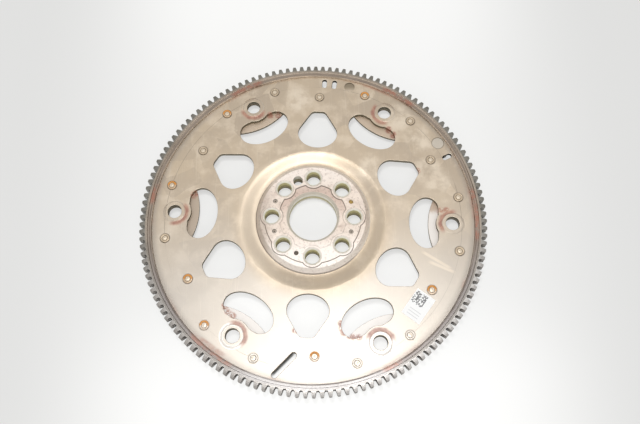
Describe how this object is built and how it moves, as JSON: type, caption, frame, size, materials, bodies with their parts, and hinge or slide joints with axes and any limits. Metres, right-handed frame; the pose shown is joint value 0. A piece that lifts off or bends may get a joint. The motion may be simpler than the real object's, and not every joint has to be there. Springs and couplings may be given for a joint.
{
  "type": "automotive flexplate",
  "caption": "Steel flexplate with a starter ring gear on its rim, kidney and tapered windows, rivets, converter bolt holes and a thick bolted hub.",
  "frame": {"origin": "on the axis, in the plane of the spacer's lowest face", "axes": "+Z along the axis, out of the converter side; +X close to the first converter bolt hole"},
  "size_m": [0.3156, 0.3156, 0.0145],
  "materials": {
    "plate_steel": "stained and dull",
    "gear_steel": "hardened, dull",
    "hub_steel": "machined, dull",
    "rivet_steel": "dull with rust"
  },
  "bodies": {
    "root": {"drive_plate": "plate_steel", "backing_ring": "plate_steel", "ring_gear": "gear_steel", "hub_disc": "hub_steel", "crank_spacer": "hub_steel", "plate_rivets": "rivet_steel", "hub_pins": "rivet_steel"}
  },
  "joints": []
}
